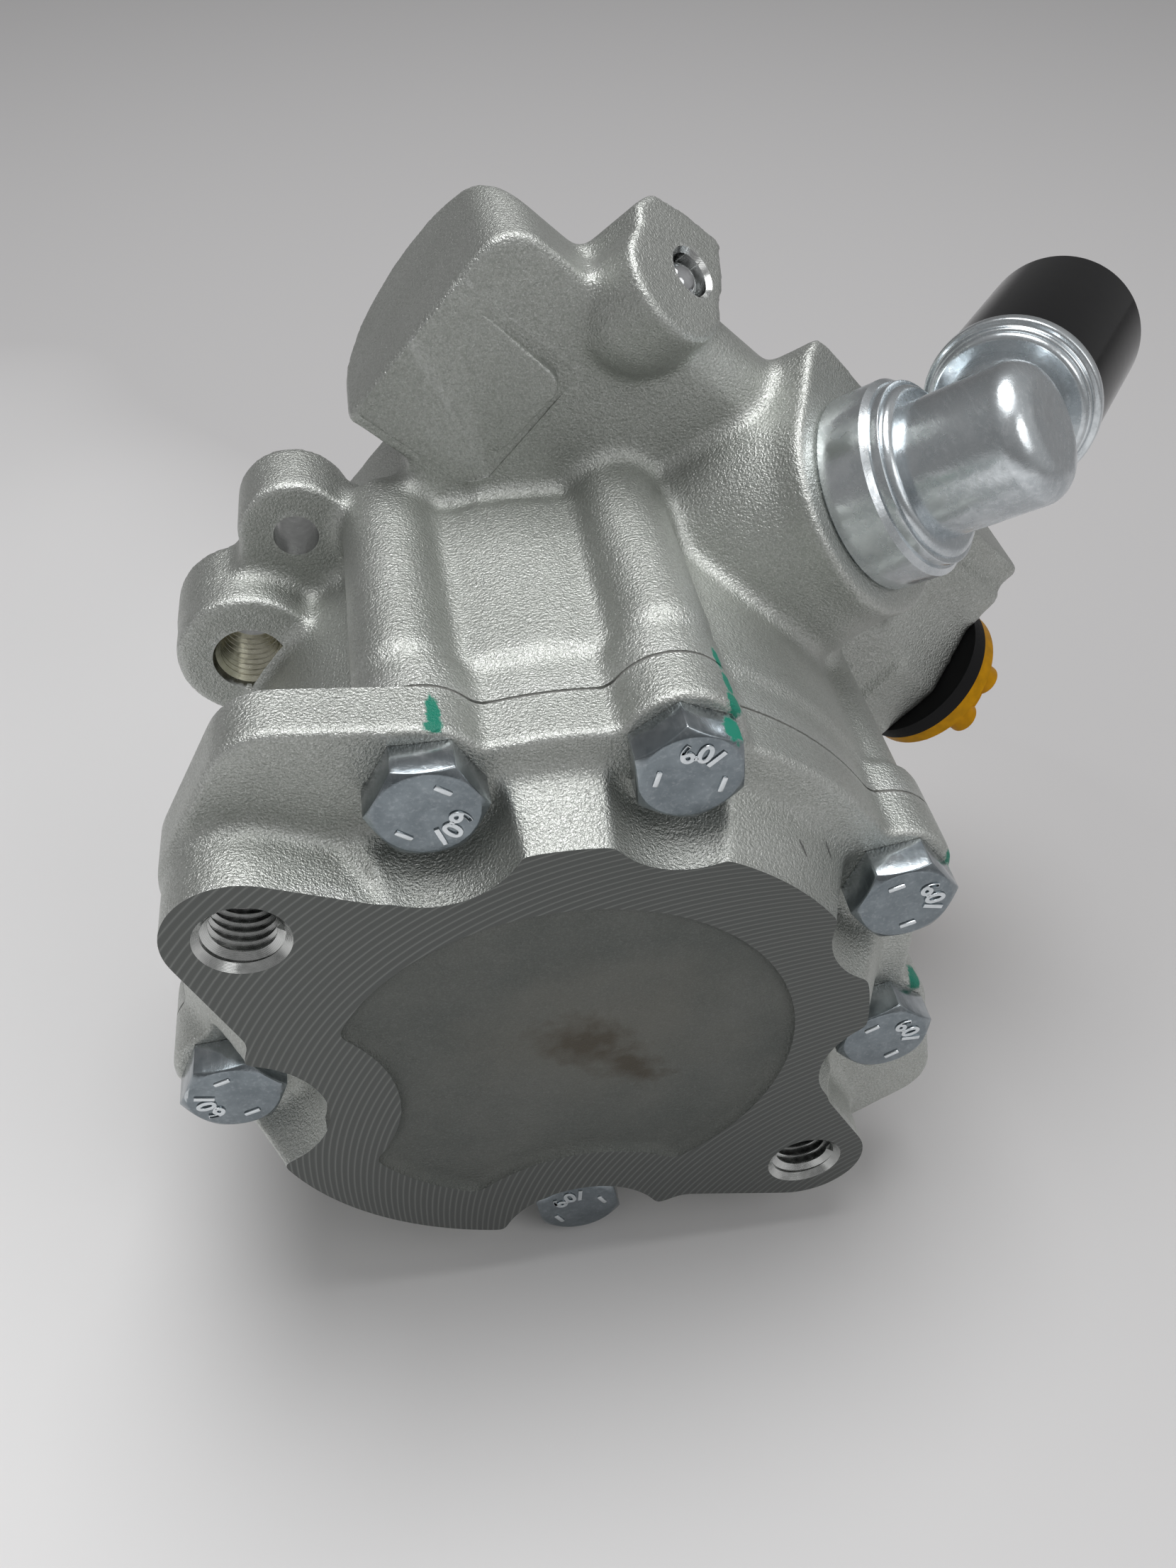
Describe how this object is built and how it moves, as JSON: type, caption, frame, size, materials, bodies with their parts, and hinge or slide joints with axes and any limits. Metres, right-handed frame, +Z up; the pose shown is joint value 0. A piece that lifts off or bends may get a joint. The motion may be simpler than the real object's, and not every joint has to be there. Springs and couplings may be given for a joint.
{
  "type": "power steering pump",
  "caption": "Vane-type power steering pump: cast aluminium body and bolted rear cover, flow control valve block, capped suction elbow and outlet, flanged drive hub.",
  "frame": {"origin": "centre of the two tapped ear holes on the rear cover's milled face, on the shaft's axis", "axes": "+Y along the shaft from the rear cover to the drive hub, +Z up as the pump lies on a bench, +X to the right seen from the rear cover"},
  "size_m": [0.1587, 0.108, 0.1457],
  "materials": {
    "cast_aluminium": "shot-blasted casting with milled faces",
    "zinc_steel": "bright zinc plating",
    "bright_steel": "ground and polished",
    "spring_steel": "dark oiled",
    "cast_iron": "ground faces",
    "bronze": "turned",
    "black_rubber": "moulded",
    "gasket": "pressed sheet",
    "black_cap": "glossy dipped vinyl",
    "yellow_cap": "moulded polyethylene"
  },
  "bodies": {
    "pump_body": {"housing": "cast_aluminium", "rear_cover": "cast_aluminium", "cover_gasket": "gasket", "cover_o_ring": "black_rubber", "cover_bolts": "zinc_steel", "ball_plug": "bright_steel", "suction_collar": "zinc_steel", "suction_o_ring": "black_rubber", "suction_elbow": "zinc_steel", "suction_nipple": "zinc_steel", "suction_cap": "black_cap", "outlet_union": "zinc_steel", "outlet_seal": "black_rubber", "outlet_cap": "yellow_cap", "spool_spring": "spring_steel", "rear_bush": "bronze", "plate_spring": "spring_steel", "rear_pressure_plate": "cast_iron", "cam_ring": "cast_iron", "front_side_plate": "cast_iron", "dowel_pins": "bright_steel", "shaft_seal": "black_rubber", "bearing_outer_race": "bright_steel", "bearing_circlip": "spring_steel"},
    "rotating_set": {"shaft": "bright_steel", "rotor": "bright_steel", "bearing_inner_race": "bright_steel", "drive_hub": "bright_steel"},
    "ball_set": {"bearing_balls": "bright_steel", "bearing_cage": "bronze"},
    "spool": {"control_spool": "bright_steel"},
    "vane_body_1": {"vane_1": "bright_steel"},
    "vane_body_2": {"vane_2": "bright_steel"},
    "vane_body_3": {"vane_3": "bright_steel"},
    "vane_body_4": {"vane_4": "bright_steel"},
    "vane_body_5": {"vane_5": "bright_steel"},
    "vane_body_6": {"vane_6": "bright_steel"},
    "vane_body_7": {"vane_7": "bright_steel"},
    "vane_body_8": {"vane_8": "bright_steel"},
    "vane_body_9": {"vane_9": "bright_steel"},
    "vane_body_10": {"vane_10": "bright_steel"}
  },
  "joints": [
    {"name": "shaft_spin", "type": "hinge", "parent": "pump_body", "child": "rotating_set", "pos_m": [0, 0, 0], "axis": [0, 1, 0], "continuous": true},
    {"name": "ball_set_spin", "type": "hinge", "parent": "pump_body", "child": "ball_set", "pos_m": [0, 0.0736, 0], "axis": [0, 1, 0], "continuous": true},
    {"name": "spool_slide", "type": "slide", "parent": "pump_body", "child": "spool", "axis": [-0.742, 0, 0.6704], "range_m": [0, 0.012], "stiffness_N_per_m": 4000, "springref_m": -0.008, "deforming": ["spool_spring"]},
    {"name": "vane_1_slide", "type": "slide", "parent": "rotating_set", "child": "vane_body_1", "axis": [0.742, 0, -0.6704], "range_m": [-0.0026, 0.0003]},
    {"name": "vane_2_slide", "type": "slide", "parent": "rotating_set", "child": "vane_body_2", "axis": [0.9943, 0, -0.1063], "range_m": [-0.0026, 0.0003]},
    {"name": "vane_3_slide", "type": "slide", "parent": "rotating_set", "child": "vane_body_3", "axis": [0.8669, 0, 0.4985], "range_m": [-0.0026, 0.0003]},
    {"name": "vane_4_slide", "type": "slide", "parent": "rotating_set", "child": "vane_body_4", "axis": [0.4083, 0, 0.9128], "range_m": [-0.0026, 0.0003]},
    {"name": "vane_5_slide", "type": "slide", "parent": "rotating_set", "child": "vane_body_5", "axis": [-0.2062, 0, 0.9785], "range_m": [-0.0026, 0.0003]},
    {"name": "vane_6_slide", "type": "slide", "parent": "rotating_set", "child": "vane_body_6", "axis": [-0.742, 0, 0.6704], "range_m": [-0.0026, 0.0003]},
    {"name": "vane_7_slide", "type": "slide", "parent": "rotating_set", "child": "vane_body_7", "axis": [-0.9943, 0, 0.1063], "range_m": [-0.0026, 0.0003]},
    {"name": "vane_8_slide", "type": "slide", "parent": "rotating_set", "child": "vane_body_8", "axis": [-0.8669, 0, -0.4985], "range_m": [-0.0026, 0.0003]},
    {"name": "vane_9_slide", "type": "slide", "parent": "rotating_set", "child": "vane_body_9", "axis": [-0.4083, 0, -0.9128], "range_m": [-0.0026, 0.0003]},
    {"name": "vane_10_slide", "type": "slide", "parent": "rotating_set", "child": "vane_body_10", "axis": [0.2062, 0, -0.9785], "range_m": [-0.0026, 0.0003]}
  ],
  "couplings": [
    {"joint": "ball_set_spin", "follows": "shaft_spin", "ratio": 0.3842}
  ]
}
